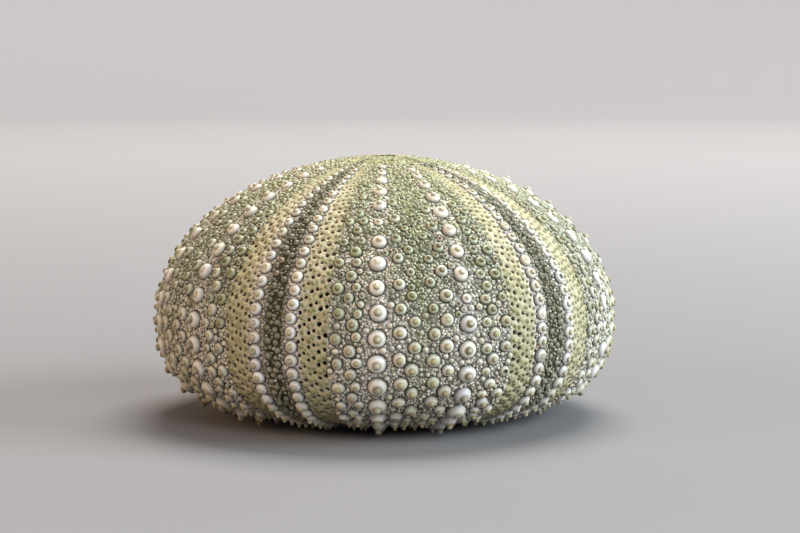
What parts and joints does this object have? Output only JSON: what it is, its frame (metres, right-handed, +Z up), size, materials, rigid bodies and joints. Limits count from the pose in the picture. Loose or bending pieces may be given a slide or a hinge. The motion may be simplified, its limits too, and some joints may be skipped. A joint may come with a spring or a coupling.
{
  "type": "sea urchin shell",
  "caption": "Empty, domed sea urchin shell with columns of rounded knobs and pore bands, open at the mouth underneath; a natural ornament that rests on its flat base.",
  "frame": {"origin": "middle of the flat ring of knobs that the shell rests on, on the shell's axis", "axes": "+Z up along the shell's axis of fivefold symmetry; -Y faces the viewer of the reference picture, a few degrees to the left of the middle of a wide plate field"},
  "size_m": [0.0459, 0.0459, 0.0253],
  "materials": {
    "shell": "matt, slightly chalky with smooth knobs"
  },
  "bodies": {
    "root": {"shell": "shell"}
  },
  "joints": []
}
